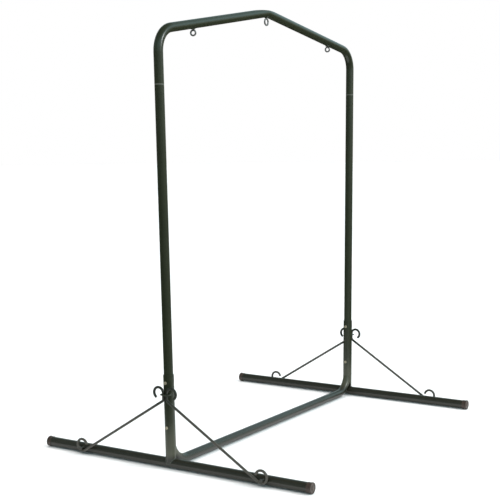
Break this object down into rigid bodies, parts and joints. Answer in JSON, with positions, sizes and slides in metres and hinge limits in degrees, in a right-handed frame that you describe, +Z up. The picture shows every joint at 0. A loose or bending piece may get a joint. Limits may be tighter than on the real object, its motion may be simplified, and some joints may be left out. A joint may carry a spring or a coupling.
{
  "type": "hammock chair stand",
  "caption": "Free-standing tubular steel stand for a hammock chair, with T-shaped feet, rod braces and a peaked arch with hanging eyes.",
  "frame": {"origin": "on the floor, midway between the feet", "axes": "+X from the left foot to the right foot, +Y from front to rear, +Z up"},
  "size_m": [1.8144, 1.462, 2.0964],
  "materials": {
    "powder_coat": "very dark green powder coat, slightly glossy",
    "rod_paint": "dark grey-green paint on thin rod, satin",
    "cap_plastic": "dark brown-black moulded plastic, satin",
    "zinc_plate": "dull zinc plate",
    "eye_zinc": "grey zinc plate, slightly worn",
    "bare_tube": "bare steel tube, hidden inside the seam"
  },
  "bodies": {
    "stand": {"left_foot_tube": "powder_coat", "left_riser_sleeve": "powder_coat", "left_upright": "powder_coat", "right_foot_tube": "powder_coat", "right_riser_sleeve": "powder_coat", "right_upright": "powder_coat", "cross_tube": "powder_coat", "top_arch": "powder_coat", "left_front_brace": "rod_paint", "left_rear_brace": "rod_paint", "right_front_brace": "rod_paint", "right_rear_brace": "rod_paint", "left_front_foot_cap": "cap_plastic", "left_rear_foot_cap": "cap_plastic", "right_front_foot_cap": "cap_plastic", "right_rear_foot_cap": "cap_plastic", "left_riser_staple": "powder_coat", "right_riser_staple": "powder_coat", "left_foot_studs": "powder_coat", "right_foot_studs": "powder_coat", "left_eye_boss": "powder_coat", "centre_eye_boss": "powder_coat", "right_eye_boss": "powder_coat", "left_riser_bolts": "zinc_plate", "right_riser_bolts": "zinc_plate", "left_riser_nuts": "zinc_plate", "right_riser_nuts": "zinc_plate", "left_arch_spigot": "bare_tube", "right_arch_spigot": "bare_tube"},
    "left_eye": {"left_eye_bolt": "eye_zinc"},
    "centre_eye": {"centre_eye_bolt": "eye_zinc"},
    "right_eye": {"right_eye_bolt": "eye_zinc"}
  },
  "joints": [
    {"name": "left_eye_swivel", "type": "hinge", "parent": "stand", "child": "left_eye", "pos_m": [-0.625, 0, 1.94366], "axis": [0, 0, 1], "continuous": true},
    {"name": "centre_eye_swivel", "type": "hinge", "parent": "stand", "child": "centre_eye", "pos_m": [0, 0, 2.04105], "axis": [0, 0, 1], "continuous": true},
    {"name": "right_eye_swivel", "type": "hinge", "parent": "stand", "child": "right_eye", "pos_m": [0.625, 0, 1.94366], "axis": [0, 0, 1], "continuous": true}
  ]
}
